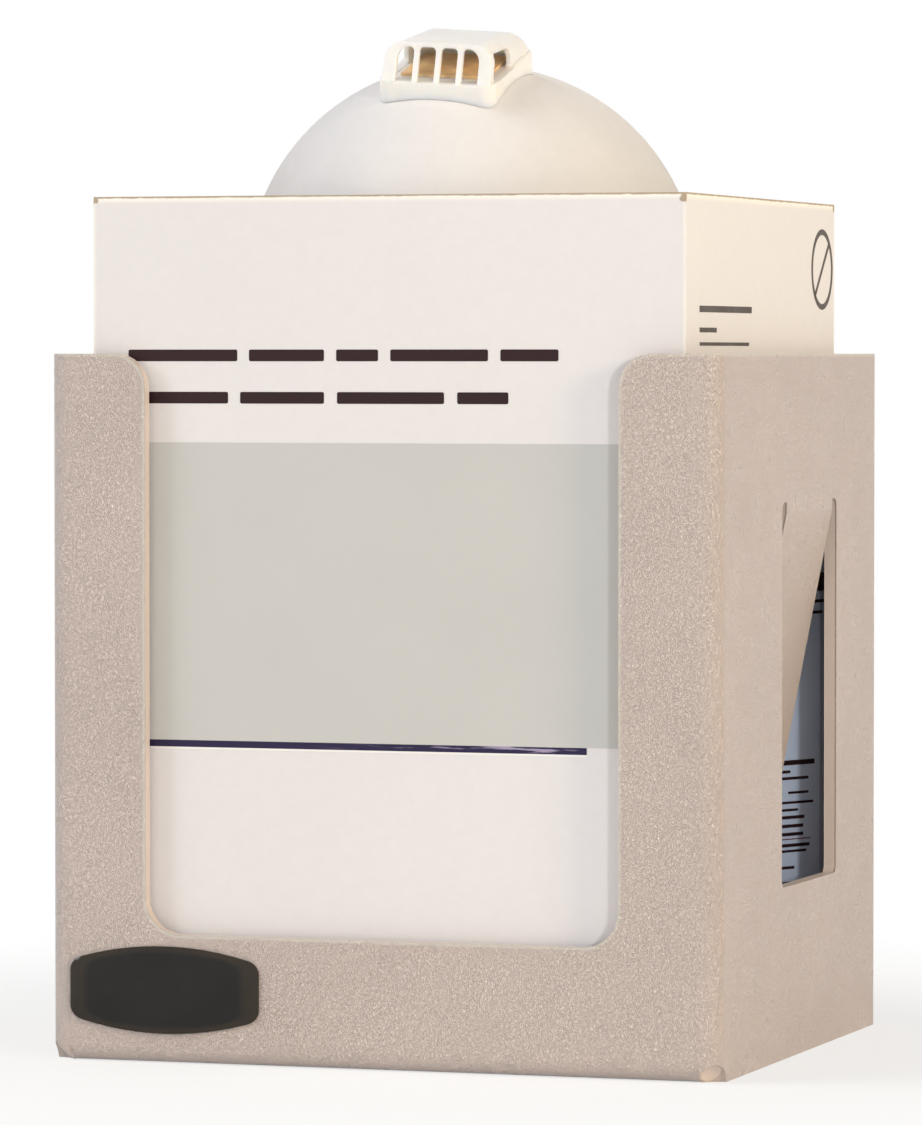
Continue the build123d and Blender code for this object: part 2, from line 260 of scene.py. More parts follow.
def pick(piece, kind, wanted):
    """Selects the vertices, edges or faces of a mesh in edit mode that a test accepts."""
    bpy.ops.mesh.select_mode(type={"verts": "VERT", "edges": "EDGE", "faces": "FACE"}[kind])
    bpy.ops.mesh.select_all(action="DESELECT")
    mesh = bmesh.from_edit_mesh(piece.data)
    for element in getattr(mesh, kind):
        element.select_set(bool(wanted(element)))
    mesh.select_flush_mode()
    bmesh.update_edit_mesh(piece.data)


def done():
    bpy.ops.object.mode_set(mode="OBJECT")


def modify(piece, kind, **settings):
    """Adds one modifier and applies it."""
    only(piece)
    bpy.ops.object.modifier_add(type=kind)
    modifier = piece.modifiers[-1]
    for name, value in settings.items():
        setattr(modifier, name, value)
    bpy.ops.object.modifier_apply(modifier=modifier.name)


def settle(piece, smooth_angle=None):
    """Puts the object at the origin, with its place in its mesh, and shades it."""
    only(piece)
    bpy.ops.object.transform_apply(location=True, rotation=True, scale=True)
    if smooth_angle is not None:
        bpy.ops.object.shade_smooth_by_angle(angle=math.radians(smooth_angle))


def dress(piece, finish, slot, *replaced):
    """Gives a new piece its finish, its body and the solids that it stands for."""
    piece.data.materials.clear()
    piece.data.materials.append(finish)
    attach(piece, "root")
    if replaced:
        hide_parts(*replaced)


def repaint(node, finish):
    """Gives a solid of the frame its finish."""
    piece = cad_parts[node]
    piece.data.materials.clear()
    piece.data.materials.append(finish)


def copies(model, stem, shifts):
    """One piece for each number, each with its own mesh, raised by its shift."""
    pieces = []
    for number, shift in shifts.items():
        piece = model if number == TOP_MASK else model.copy()
        if piece is not model:
            piece.data = model.data.copy()
            bpy.context.scene.collection.objects.link(piece)
        piece.name = f"{stem}_{number}"
        piece.data.name = piece.name
        pieces.append((number, piece, shift))
    for number, piece, shift in pieces:
        piece.data.transform(Matrix.Translation(shift))
    return {number: piece for number, piece, shift in pieces}


def mask_shifts():
    """How far each mask lies from the top one."""
    return {
        number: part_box("mask_cup_" + number)[0] - CUP_LOW for number in MASK_NUMBERS
    }


# Shader nodes


class Graph:
    """A short way to place and link the nodes of one tree."""

    def __init__(self, tree):
        self.tree = tree

    def put(self, socket, value):
        if isinstance(value, bpy.types.NodeSocket):
            self.tree.links.new(value, socket)
        elif value is not None:
            socket.default_value = value

    def node(self, kind, values=None, **settings):
        made = self.tree.nodes.new(kind)
        for name, value in settings.items():
            setattr(made, name, value)
        for key, value in (values or {}).items():
            self.put(made.inputs[key], value)
        return made

    def math(self, operation, *values, clamp=False):
        made = self.node("ShaderNodeMath", operation=operation, use_clamp=clamp)
        for socket, value in zip(made.inputs, values):
            self.put(socket, value)
        return made.outputs[0]

    def vector(self, operation, *values):
        made = self.node("ShaderNodeVectorMath", operation=operation)
        for socket, value in zip(made.inputs, values):
            self.put(socket, value)
        return made.outputs["Value" if operation in {"DOT_PRODUCT", "LENGTH"} else "Vector"]

    def split(self, vector):
        return self.node("ShaderNodeSeparateXYZ", {"Vector": vector}).outputs

    def join(self, x, y, z):
        return self.node("ShaderNodeCombineXYZ", {"X": x, "Y": y, "Z": z}).outputs[0]

    def ease(self, value, low, high, start=0.0, end=1.0):
        """Smooth step from start to end as value goes from low to high."""
        made = self.node(
            "ShaderNodeMapRange",
            {"Value": value, "From Min": low, "From Max": high, "To Min": start, "To Max": end},
            interpolation_type="SMOOTHSTEP",
        )
        return made.outputs[0]

    def mix(self, factor, first, second, blend="MIX"):
        made = self.node("ShaderNodeMix", data_type="RGBA", blend_type=blend)
        for index, value in ((0, factor), (6, first), (7, second)):
            self.put(made.inputs[index], value)
        return made.outputs[2]

    def noise(self, vector, scale=1.0, detail=2.0, distortion=0.0):
        values = {"Vector": vector, "Scale": scale, "Detail": detail, "Distortion": distortion}
        return self.node("ShaderNodeTexNoise", values).outputs[0]

    def place(self):
        """Position on the object, which is also its place in the frame."""
        return self.node("ShaderNodeTexCoord").outputs["Object"]

    def use(self, group, **values):
        """Places a shared group, with its inputs given by their names."""
        made = self.node("ShaderNodeGroup", node_tree=group)
        for name, value in values.items():
            self.put(made.inputs[name.replace("_", " ").capitalize()], value)
        return made.outputs

    def bump(self, height, distance, strength=1.0, normal=None):
        values = {"Height": height, "Distance": distance, "Strength": strength, "Normal": normal}
        return self.node("ShaderNodeBump", values).outputs[0]


def rgba(colour):
    return (*colour, 1.0)


def shared(name, inputs, outputs):
    """Returns a shader group by name, and whether its nodes still have to be made."""
    if name in bpy.data.node_groups:
        return bpy.data.node_groups[name], None, None, None
    tree = bpy.data.node_groups.new(name, "ShaderNodeTree")
    for way, sockets in (("INPUT", inputs), ("OUTPUT", outputs)):
        for socket, kind, value in sockets:
            made = tree.interface.new_socket(name=socket, in_out=way, socket_type=kind)
            if value is not None:
                made.default_value = value
    graph = Graph(tree)
    return tree, graph, graph.node("NodeGroupInput").outputs, graph.node("NodeGroupOutput").inputs


def haircell():
    """Pressed grain of the sheet: short wandering ridges, longer upright than across."""
    tree, graph, given, result = shared(
        "Haircell grain",
        [("Vector", "NodeSocketVector", None), ("Width", "NodeSocketFloat", 0.6 * MM),
         ("Length", "NodeSocketFloat", 1.4 * MM)],
        [("Height", "NodeSocketFloat", None), ("Pits", "NodeSocketFloat", None)],
    )
    if graph:
        across = graph.math("DIVIDE", 1.0, given["Width"])
        along = graph.math("DIVIDE", 1.0, given["Length"])
        grain = graph.vector("MULTIPLY", given["Vector"], graph.join(across, across, along))
        wander = graph.node("ShaderNodeTexNoise", {"Vector": grain, "Scale": 0.8, "Detail": 1.0})
        shift = graph.vector("MULTIPLY", wander.outputs["Color"], (1.6, 1.6, 1.6))
        cells = graph.node("ShaderNodeTexVoronoi", {"Vector": graph.vector("ADD", grain, shift)})
        pits = graph.ease(cells.outputs["Distance"], 0.45, 0.85)
        fine = graph.noise(grain, scale=2.7, detail=2.0, distortion=0.3)
        pebbles = graph.math("SUBTRACT", 1.0, pits)
        graph.put(result["Height"], graph.math("MULTIPLY_ADD", fine, 0.3, pebbles))
        graph.put(result["Pits"], pits)
    return tree


def mottle():
    """Slow drift of a value over a surface, between a low and a high end."""
    tree, graph, given, result = shared(
        "Mottle",
        [("Vector", "NodeSocketVector", None), ("Size", "NodeSocketFloat", 20 * MM),
         ("Low", "NodeSocketFloat", 0.0), ("High", "NodeSocketFloat", 1.0)],
        [("Value", "NodeSocketFloat", None)],
    )
    if graph:
        spread = graph.node("ShaderNodeVectorMath", {"Vector": given["Vector"]}, operation="SCALE")
        graph.put(spread.inputs["Scale"], graph.math("DIVIDE", 1.0, given["Size"]))
        drift = graph.noise(spread.outputs[0], detail=3.0)
        graph.put(result["Value"], graph.ease(drift, 0.3, 0.7, given["Low"], given["High"]))
    return tree


def fibre():
    """Matted fibres of fleece or bare board: a height and a faint shade."""
    tree, graph, given, result = shared(
        "Matted fibre",
        [("Vector", "NodeSocketVector", None), ("Size", "NodeSocketFloat", 0.5 * MM)],
        [("Height", "NodeSocketFloat", None), ("Shade", "NodeSocketFloat", None)],
    )
    if graph:
        spread = graph.node("ShaderNodeVectorMath", {"Vector": given["Vector"]}, operation="SCALE")
        graph.put(spread.inputs["Scale"], graph.math("DIVIDE", 1.0, given["Size"]))
        strands = graph.noise(spread.outputs[0], detail=4.0, distortion=2.2)
        tufts = graph.noise(spread.outputs[0], scale=0.22, detail=2.0)
        graph.put(result["Height"], graph.math("MULTIPLY_ADD", tufts, 1.6, strands))
        graph.put(result["Shade"], graph.ease(tufts, 0.3, 0.7, 0.985, 1.0))
    return tree


def sheet_faces():
    """Tells the sheet's pressed outside from its sawn edges and its smooth inside, and masks the painted highlight
    along the trimmed rims.
    """
    tree, graph, given, result = shared(
        "Sheet faces",
        [("Vector", "NodeSocketVector", None)],
        [("Outside", "NodeSocketFloat", None), ("Edge", "NodeSocketFloat", None),
         ("Rim", "NodeSocketFloat", None)],
    )
    if graph:
        middle = (HOLDER_LOW + HOLDER_HIGH) / 2
        half = (HOLDER_HIGH - HOLDER_LOW) / 2
        x, y, z = graph.split(given["Vector"])
        side = graph.math("ABSOLUTE", x)
        back = graph.math("ABSOLUTE", graph.math("SUBTRACT", y, middle.y))
        over = [
            graph.math("SUBTRACT", side, half.x - BEND_RADIUS),
            graph.math("SUBTRACT", back, half.y - BEND_RADIUS),
            graph.math("SUBTRACT", BEND_RADIUS, z),
        ]
        beyond = graph.join(*[graph.math("MAXIMUM", value, 0.0) for value in over])
        widest = graph.math("MAXIMUM", graph.math("MAXIMUM", over[0], over[1]), over[2])
        reach = graph.math("ADD", graph.vector("LENGTH", beyond), graph.math("MINIMUM", widest, 0.0))
        wall = graph.math("SUBTRACT", reach, BEND_RADIUS)

        drop = graph.math("MULTIPLY", graph.math("SUBTRACT", CREASE_HEIGHT, z), math.sin(TONGUE_ANGLE))
        lean = graph.math("MULTIPLY", graph.math("SUBTRACT", side, half.x), math.cos(TONGUE_ANGLE))
        off_middle = graph.math("ABSOLUTE", graph.math("SUBTRACT", y, TONGUE_MIDDLE))
        beside = graph.math("LESS_THAN", off_middle, TONGUE_HALF_WIDTH)
        below = graph.math("LESS_THAN", z, CREASE_HEIGHT)
        above = graph.math("GREATER_THAN", z, TONGUE_LOWEST)
        on_tongue = graph.math("MULTIPLY", graph.math("MULTIPLY", beside, below), above)
        bent = graph.math("ADD", drop, lean)
        change = graph.math("SUBTRACT", bent, wall)
        depth = graph.math("MULTIPLY_ADD", on_tongue, change, wall)

        outside = graph.ease(depth, -0.4 * MM, -0.1 * MM)
        inside = graph.ease(depth, 0.35 * MM - SHEET, 0.1 * MM - SHEET)
        graph.put(result["Outside"], outside)
        rest = graph.math("SUBTRACT", 1.0, outside)
        graph.put(result["Edge"], graph.math("SUBTRACT", rest, inside, clamp=True))
        graph.put(result["Rim"], graph.math("MULTIPLY", outside, sheet_rim_highlight(graph, side, y, z)))
    return tree


def sheet_rim_highlight(graph, side, y, z):
    """Mask of the painted highlight on the narrow rounding along the top edges and round the front cut-out."""
    corner = CUTOUT_CORNER
    across = graph.math("SUBTRACT", side, CUTOUT_HALF_WIDTH - corner)
    down = graph.math("SUBTRACT", CUTOUT_FLOOR + corner, z)
    beyond = graph.join(graph.math("MAXIMUM", across, 0.0), graph.math("MAXIMUM", down, 0.0), 0.0)
    low = graph.math("MINIMUM", graph.math("MAXIMUM", across, down), 0.0)
    from_cut = graph.math("SUBTRACT", graph.math("ADD", graph.vector("LENGTH", beyond), low), corner)

    corner = UPRIGHT_CORNER
    inward = graph.math("SUBTRACT", CUTOUT_HALF_WIDTH + corner, side)
    upward = graph.math("SUBTRACT", z, HOLDER_HIGH.z - corner)
    near = graph.join(graph.math("MAXIMUM", inward, 0.0), graph.math("MAXIMUM", upward, 0.0), 0.0)
    near_top = graph.math("GREATER_THAN", upward, 0.0)
    from_upright = graph.math("MULTIPLY", graph.vector("LENGTH", near), near_top)
    from_upright = graph.math("SUBTRACT", corner, from_upright)

    behind = graph.math("GREATER_THAN", y, HOLDER_LOW.y + BEND_RADIUS)
    from_top = graph.math("SUBTRACT", HOLDER_HIGH.z, z)
    front = graph.math("MINIMUM", from_cut, from_upright)
    change = graph.math("SUBTRACT", from_top, front)
    distance = graph.math("MULTIPLY_ADD", behind, change, front)
    return graph.ease(distance, 0.3 * MM, RIM_HIGHLIGHT_WIDTH, 1.0, 0.0)


def finish(name):
    """An empty material with its Principled shader."""
    made = bpy.data.materials.new(name)
    made.use_nodes = True
    made.node_tree.nodes.clear()
    graph = Graph(made.node_tree)
    shader = graph.node("ShaderNodeBsdfPrincipled")
    graph.node("ShaderNodeOutputMaterial", {"Surface": shader.outputs[0]})
    return made, graph, shader.inputs


def shaded(graph, colour, shade):
    """A colour made a little darker by a value near 1."""
    return graph.mix(1.0, colour, graph.join(shade, shade, shade), "MULTIPLY")


def sheet_finish():
    """Haircell plastic sheet with smoother sawn edges, painted paler along the trimmed rims as a highlight; the sawn
    faces' own tone is darkened to stand for the shade in the relief notches, and the grain's pits carry painted shade.
    """
    made, graph, shader = finish("holder_sheet")
    place = graph.place()
    grain = graph.use(haircell(), vector=place, width=sizes().grain_width, length=sizes().grain_length)
    faces = graph.use(sheet_faces(), vector=place)
    drift = graph.use(mottle(), vector=place, size=34 * MM, low=0.965, high=1.02)[0]
    # Painted shade: the grain's pits are darkened in the colour, and the ridges lightened a little
    pits = graph.math("MULTIPLY", grain["Pits"], faces["Outside"])
    shade = graph.math("MULTIPLY", drift, graph.ease(pits, 0.0, 1.0, 1.06, 0.8))
    body = shaded(graph, rgba(colours().sheet), shade)
    # Sawn faces: their own tone, darkened as painted shade for the relief notches
    body = graph.mix(faces["Edge"], body, rgba(colours().sheet_cut_and_notch_shade))
    # Painted highlight: the outside is lightened towards pale cream along the trimmed rims
    rim = graph.math("MULTIPLY", faces["Rim"], 0.8)
    graph.put(shader["Base Color"], graph.mix(rim, body, rgba(colours().sheet_rim_highlight)))
    gloss = graph.use(mottle(), vector=place, size=9 * MM, low=0.27, high=0.36)[0]
    graph.put(shader["Roughness"], graph.math("MULTIPLY_ADD", faces["Edge"], 0.2, gloss))
    graph.put(shader["Specular IOR Level"], 0.7)
    scratches = graph.math("MULTIPLY", graph.noise(place, scale=3500, detail=3.0), 0.12)
    height = graph.math("MULTIPLY_ADD", grain["Height"], faces["Outside"], scratches)
    graph.put(shader["Normal"], graph.bump(height, sizes().grain_depth))
    return made


def badge_finish():
    """Glossy domed resin with faint handling marks, and a painted reflection: a lighter ring along the crowned edge
    round a darker middle.
    """
    made, graph, shader = finish("badge_resin_black")
    place = graph.place()
    shade = graph.use(mottle(), vector=place, size=12 * MM, low=0.8, high=1.2)[0]
    middle = (BADGE_LOW + BADGE_HIGH) / 2
    half = (BADGE_HIGH - BADGE_LOW) / 2
    spot = graph.split(graph.vector("SUBTRACT", place, tuple(middle)))
    across = graph.math("DIVIDE", graph.math("ABSOLUTE", spot[0]), half.x)
    bow = graph.math("MULTIPLY", across, across)
    tall = graph.math("MULTIPLY_ADD", bow, BADGE_END_HEIGHT / 2 - half.z, half.z)
    up = graph.math("DIVIDE", graph.math("ABSOLUTE", spot[2]), tall)
    sharp = graph.math("POWER", graph.math("MULTIPLY", across, 1.04), 8.0)
    spread = graph.math("POWER", graph.math("ADD", sharp, graph.math("POWER", up, 8.0)), 0.125)
    # Painted reflection: the ring along the crowned edge takes the lighter edge colour, the flat middle stays dark
    rim = graph.ease(spread, 0.8, 0.93)
    body = graph.mix(rim, rgba(colours().badge), rgba(colours().badge_edge_reflection))
    graph.put(shader["Base Color"], shaded(graph, body, shade))
    graph.put(shader["Specular IOR Level"], 0.32)
    graph.put(shader["Roughness"], graph.use(mottle(), vector=place, size=3 * MM, low=0.05, high=0.1)[0])
    waves = graph.use(mottle(), vector=place, size=7 * MM)[0]
    graph.put(shader["Normal"], graph.bump(waves, 0.04 * MM))
    return made


def badge_line_finish():
    """Silver-grey line printed under the resin."""
    made, graph, shader = finish("badge_silver_line")
    shade = graph.use(mottle(), vector=graph.place(), size=4 * MM, low=0.85, high=1.0)[0]
    graph.put(shader["Base Color"], shaded(graph, rgba(colours().badge_line), shade))
    graph.put(shader["Roughness"], 0.12)
    return made


def board_finish():
    """Coated board: white outside, bare inside, with a raw top edge and rubbed corners, and painted highlights along
    its upright corners and its folded top edge.
    """
    made, graph, shader = finish("carton_coated_board")
    place = graph.place()
    middle = (CARTON_LOW + CARTON_HIGH) / 2
    half = (CARTON_HIGH - CARTON_LOW) / 2
    matted = graph.use(fibre(), vector=place, size=0.6 * MM)
    drift = graph.use(mottle(), vector=place, size=60 * MM, low=0.985, high=1.0)[0]
    rough_line = graph.use(mottle(), vector=place, size=2.5 * MM)[0]

    x, y, z = graph.split(place)
    normal = graph.node("ShaderNodeNewGeometry").outputs["Normal"]
    flat = graph.join(x, graph.math("SUBTRACT", y, middle.y), 0.0)
    outward = graph.vector("DOT_PRODUCT", flat, normal)
    inside = graph.math("LESS_THAN", outward, 0.0)

    to_side = graph.math("SUBTRACT", half.x, graph.math("ABSOLUTE", x))
    to_end = graph.math("SUBTRACT", half.y, graph.math("ABSOLUTE", graph.math("SUBTRACT", y, middle.y)))
    to_corner = graph.math("MAXIMUM", to_side, to_end)
    to_top = graph.math("SUBTRACT", CARTON_HIGH.z, z)
    # Painted highlights: a light line along the upright corners and a light band along the folded top edge
    crease_highlight = graph.ease(to_corner, 0.25 * MM, 0.9 * MM, 1.0, 0.0)
    rolled_edge_highlight = graph.ease(to_top, 0.5 * MM, 1.9 * MM, 1.0, 0.0)
    ragged = graph.math("MULTIPLY_ADD", rough_line, 0.15 * MM, to_top)
    raw = graph.ease(ragged, 0.35 * MM, 0.6 * MM, 1.0, 0.0)
    near_top = graph.ease(to_top, 0.8 * MM, 3.2 * MM, 1.0, 0.0)
    near_corner = graph.ease(to_corner, 0.6 * MM, 2.6 * MM, 1.0, 0.0)
    rubbed = graph.math("MULTIPLY", graph.math("MULTIPLY", near_top, near_corner), rough_line)
    worn = graph.math("MAXIMUM", raw, graph.ease(rubbed, 0.25, 0.55))

    shade = graph.math("MULTIPLY", drift, matted["Shade"])
    low = graph.math("LESS_THAN", z, CARTON_LOW.z + SIDE_TINT_TOP)
    back = graph.math("GREATER_THAN", y, CARTON_LOW.y + SIDE_TINT_FRONT)
    tinted = graph.math("MULTIPLY", graph.math("MULTIPLY", low, back), graph.ease(to_side, 11 * MM, 12 * MM, 1.0, 0.0))
    coat = graph.mix(tinted, rgba(colours().board), rgba(colours().board_tint))
    coat = shaded(graph, coat, shade)
    # Painted highlight: the corner lines and the top band are lightened towards pale cream
    light = graph.math("MAXIMUM", graph.math("MULTIPLY", crease_highlight, 0.5), rolled_edge_highlight)
    coat = graph.mix(light, coat, (0.93, 0.9, 0.84, 1.0))
    coat = graph.mix(graph.math("MULTIPLY", worn, 0.85), coat, rgba(colours().board_worn))
    bare = shaded(graph, rgba(colours().board_inside), matted["Shade"])
    graph.put(shader["Base Color"], graph.mix(inside, coat, bare))
    gloss = graph.math("MULTIPLY_ADD", worn, 0.2, 0.5)
    graph.put(shader["Roughness"], graph.math("MULTIPLY_ADD", inside, 0.3, gloss))
    graph.put(shader["Specular IOR Level"], 0.3)
    dents = graph.use(mottle(), vector=place, size=40 * MM, low=0.0, high=3.0)[0]
    height = graph.math("ADD", matted["Height"], dents)
    graph.put(shader["Normal"], graph.bump(height, 0.022 * MM))
    return made


def ink_finish(name, colour, streaks=0.0):
    """Print on the board, with the board's fibre and a faint unevenness."""
    made, graph, shader = finish(name)
    place = graph.place()
    matted = graph.use(fibre(), vector=place, size=0.6 * MM)
    shade = graph.use(mottle(), vector=place, size=30 * MM, low=0.99, high=1.01)[0]
    base = shaded(graph, rgba(colour), shade)
    if streaks:
        slant = graph.vector("MULTIPLY", place, (90.0, 0.0, 1400.0))
        pale = graph.ease(graph.noise(slant, detail=3.0), 0.52, 0.66)
        x = graph.split(place)[0]
        right = graph.math("MULTIPLY", pale, graph.ease(x, -0.02, 0.035))
        base = graph.mix(graph.math("MULTIPLY", right, streaks), base, (0.42, 0.36, 0.52, 1.0))
    graph.put(shader["Base Color"], base)
    graph.put(shader["Specular IOR Level"], 0.25)
    graph.put(shader["Roughness"], graph.use(mottle(), vector=place, size=5 * MM, low=0.42, high=0.52)[0])
    graph.put(shader["Normal"], graph.bump(matted["Height"], 0.02 * MM))
    return made


def fleece_finish():
    """Soft fleece over the moulded cup."""
    made, graph, shader = finish("mask_fleece")
    place = graph.place()
    matted = graph.use(fibre(), vector=place, size=sizes().fibre_size)
    drift = graph.use(mottle(), vector=place, size=26 * MM, low=0.97, high=1.0)[0]
    shade = graph.math("MULTIPLY", drift, matted["Shade"])
    graph.put(shader["Base Color"], shaded(graph, rgba(colours().fleece), shade))
    graph.put(shader["Roughness"], graph.use(mottle(), vector=place, size=4 * MM, low=0.78, high=0.9)[0])
    graph.put(shader["Sheen Weight"], 0.25)
    dents = graph.use(mottle(), vector=place, size=18 * MM, low=0.0, high=4.0)[0]
    height = graph.math("ADD", matted["Height"], dents)
    graph.put(shader["Normal"], graph.bump(height, 0.05 * MM))
    return made


def valve_finish():
    """Milky moulded plastic that lets a little light through."""
    made, graph, shader = finish("valve_milky_plastic")
    place = graph.place()
    shade = graph.use(mottle(), vector=place, size=8 * MM, low=0.96, high=1.0)[0]
    graph.put(shader["Base Color"], shaded(graph, rgba(colours().valve), shade))
    graph.put(shader["Roughness"], graph.use(mottle(), vector=place, size=3 * MM, low=0.3, high=0.42)[0])
    graph.put(shader["Subsurface Weight"], 0.8)
    graph.put(shader["Subsurface Radius"], (1.0, 0.85, 0.6))
    graph.put(shader["Subsurface Scale"], 3 * MM)
    graph.put(shader["Normal"], graph.bump(graph.noise(place, scale=2600, detail=3.0), 0.01 * MM))
    return made


def flap_finish():
    """Amber flexible flap."""
    made, graph, shader = finish("valve_amber_flap")
    place = graph.place()
    shade = graph.use(mottle(), vector=place, size=5 * MM, low=0.85, high=1.1)[0]
    graph.put(shader["Base Color"], shaded(graph, rgba(colours().flap), shade))
    graph.put(shader["Roughness"], graph.use(mottle(), vector=place, size=2 * MM, low=0.35, high=0.5)[0])
    graph.put(shader["Subsurface Weight"], 0.3)
    graph.put(shader["Subsurface Radius"], (1.2, 0.5, 0.2))
    graph.put(shader["Subsurface Scale"], 1 * MM)
    graph.put(shader["Normal"], graph.bump(graph.noise(place, scale=1800, detail=2.0), 0.012 * MM))
    return made


def clip_finish():
    """Soft aluminium strip with fine rolling lines."""
    made, graph, shader = finish("clip_soft_metal")
    place = graph.place()
    lines = graph.noise(graph.vector("MULTIPLY", place, (260.0, 260.0, 5200.0)), detail=2.0)
    shade = graph.ease(lines, 0.3, 0.7, 0.9, 1.05)
    graph.put(shader["Base Color"], shaded(graph, rgba(colours().clip), shade))
    graph.put(shader["Metallic"], 1.0)
    graph.put(shader["Roughness"], graph.ease(lines, 0.3, 0.7, 0.3, 0.45))
    graph.put(shader["Normal"], graph.bump(lines, 0.01 * MM))
    return made


def strap_finish():
    """Woven elastic: crosswise ribs and lengthwise threads on the strap's own map."""
    made, graph, shader = finish("strap_woven_elastic")
    woven = graph.node("ShaderNodeUVMap", uv_map="Weave").outputs[0]
    along, across = graph.split(woven)[:2]
    ribs = graph.math("SINE", graph.math("MULTIPLY", along, 2 * math.pi / (0.9 * MM)))
    threads = graph.math("SINE", graph.math("MULTIPLY", across, 2 * math.pi / (0.75 * MM)))
    cloth = graph.math("MULTIPLY", ribs, threads)
    shade = graph.ease(cloth, -1.0, 1.0, 0.8, 1.04)
    drift = graph.use(mottle(), vector=graph.place(), size=14 * MM, low=0.93, high=1.0)[0]
    graph.put(shader["Base Color"], shaded(graph, rgba(colours().strap), graph.math("MULTIPLY", shade, drift)))
    graph.put(shader["Roughness"], graph.ease(cloth, -1.0, 1.0, 0.85, 0.65))
    graph.put(shader["Normal"], graph.bump(cloth, 0.05 * MM))
    return made


# Pieces


def open_halves(piece, centre, distance):
    """Moves the front and back halves of a round form apart, which makes it oblong."""
    for side in (-1, 1):
        pick(piece, "verts", lambda vert: side * (vert.co.y - centre.y) > 0.01 * MM)
        bpy.ops.transform.translate(value=(0, side * distance, 0))


def cup_sizes():
    """Middle of the top cup's foot, its dome's radius, half its barrel and its skirt's height."""
    width = CUP_HIGH.x - CUP_LOW.x
    length = CUP_HIGH.y - CUP_LOW.y
    radius = width / 2 - CUP_RIM_WIDTH
    foot = Vector(((CUP_LOW.x + CUP_HIGH.x) / 2, (CUP_LOW.y + CUP_HIGH.y) / 2, CUP_LOW.z))
    return foot, radius, (length - width) / 2, CUP_HIGH.z - CUP_LOW.z - radius


def half_dome(name, middle, radius, steps=32):
    """Upper half of a ball made from a cube, so that it has no poles."""
    bpy.ops.object.select_all(action="DESELECT")
    bpy.ops.mesh.primitive_cube_add(size=2 * radius, location=middle)
    piece = added(name)
    settle(piece)
    edit(piece)
    bpy.ops.mesh.select_all(action="SELECT")
    bpy.ops.mesh.subdivide(number_cuts=steps - 1)
    mesh = bmesh.from_edit_mesh(piece.data)
    for vert in mesh.verts:
        vert.co = middle + (vert.co - middle).normalized() * radius
    bmesh.update_edit_mesh(piece.data)
    pick(piece, "faces", lambda face: face.calc_center_median().z < middle.z)
    bpy.ops.mesh.delete(type="FACE")
    done()
    return piece


def lengthen_loop(piece, height, drop, spread=1.0, centre=None):
    """Extrudes the open edge at a height downwards, then spreads it."""
    near = 0.01 * MM
    pick(piece, "edges", lambda edge: edge.is_boundary and all(
        abs(vert.co.z - height) < near for vert in edge.verts))
    bpy.ops.mesh.extrude_region_move(TRANSFORM_OT_translate={"value": (0, 0, -drop)})
    if spread != 1.0:
        bpy.ops.transform.resize(value=(spread, spread, 1), center_override=centre)


def cup_shell():
    """The top mask's moulded cup: dome, skirt, crimped rim, hollow inside and valve port."""
    foot, radius, half_barrel, skirt = cup_sizes()
    middle = foot + Vector((0, 0, skirt))
    outer = half_dome("cup_outer", middle, radius)
    edit(outer)
    lengthen_loop(outer, middle.z, skirt - CUP_RIM_THICKNESS)
    rim_top = foot.z + CUP_RIM_THICKNESS
    lengthen_loop(outer, rim_top, 0, (radius + CUP_RIM_WIDTH) / radius, foot)
    pick(outer, "faces", lambda face: abs(face.calc_center_median().z - rim_top) < 0.01 * MM)
    bpy.ops.mesh.inset(use_individual=True, thickness=0.5 * MM, depth=-0.3 * MM)
    pick(outer, "edges", lambda edge: edge.is_boundary)
    bpy.ops.mesh.extrude_region_move(TRANSFORM_OT_translate={"value": (0, 0, -CUP_RIM_THICKNESS)})
    done()

    inner = half_dome("cup_inner", middle, radius - CUP_WALL)
    edit(inner)
    lengthen_loop(inner, middle.z, skirt)
    bpy.ops.mesh.select_all(action="SELECT")
    bpy.ops.mesh.flip_normals()
    done()

    only(outer)
    inner.select_set(True)
    bpy.ops.object.join()
    edit(outer)
    pick(outer, "edges", lambda edge: edge.is_boundary)
    bpy.ops.mesh.bridge_edge_loops()
    open_halves(outer, foot, half_barrel)
    bpy.ops.mesh.select_all(action="SELECT")
    bpy.ops.mesh.normals_make_consistent(inside=False)
    done()

    axis = Vector((
        math.sin(VALVE_LEAN) * math.cos(VALVE_TILT),
        -math.sin(VALVE_TILT),
        math.cos(VALVE_LEAN) * math.cos(VALVE_TILT),
    ))
    front_middle = middle - Vector((0, half_barrel, 0))
    bpy.ops.object.select_all(action="DESELECT")
    bpy.ops.mesh.primitive_cylinder_add(
        vertices=48, radius=PORT_RADIUS, depth=4 * CUP_WALL,
        location=front_middle + axis * radius, rotation=axis.to_track_quat("Z", "Y").to_euler())
    punch = added("port_punch")
    settle(punch)
    modify(outer, "BOOLEAN", operation="DIFFERENCE", solver="EXACT", object=punch)
    bpy.data.objects.remove(punch)
    settle(outer, 42)
    return outer


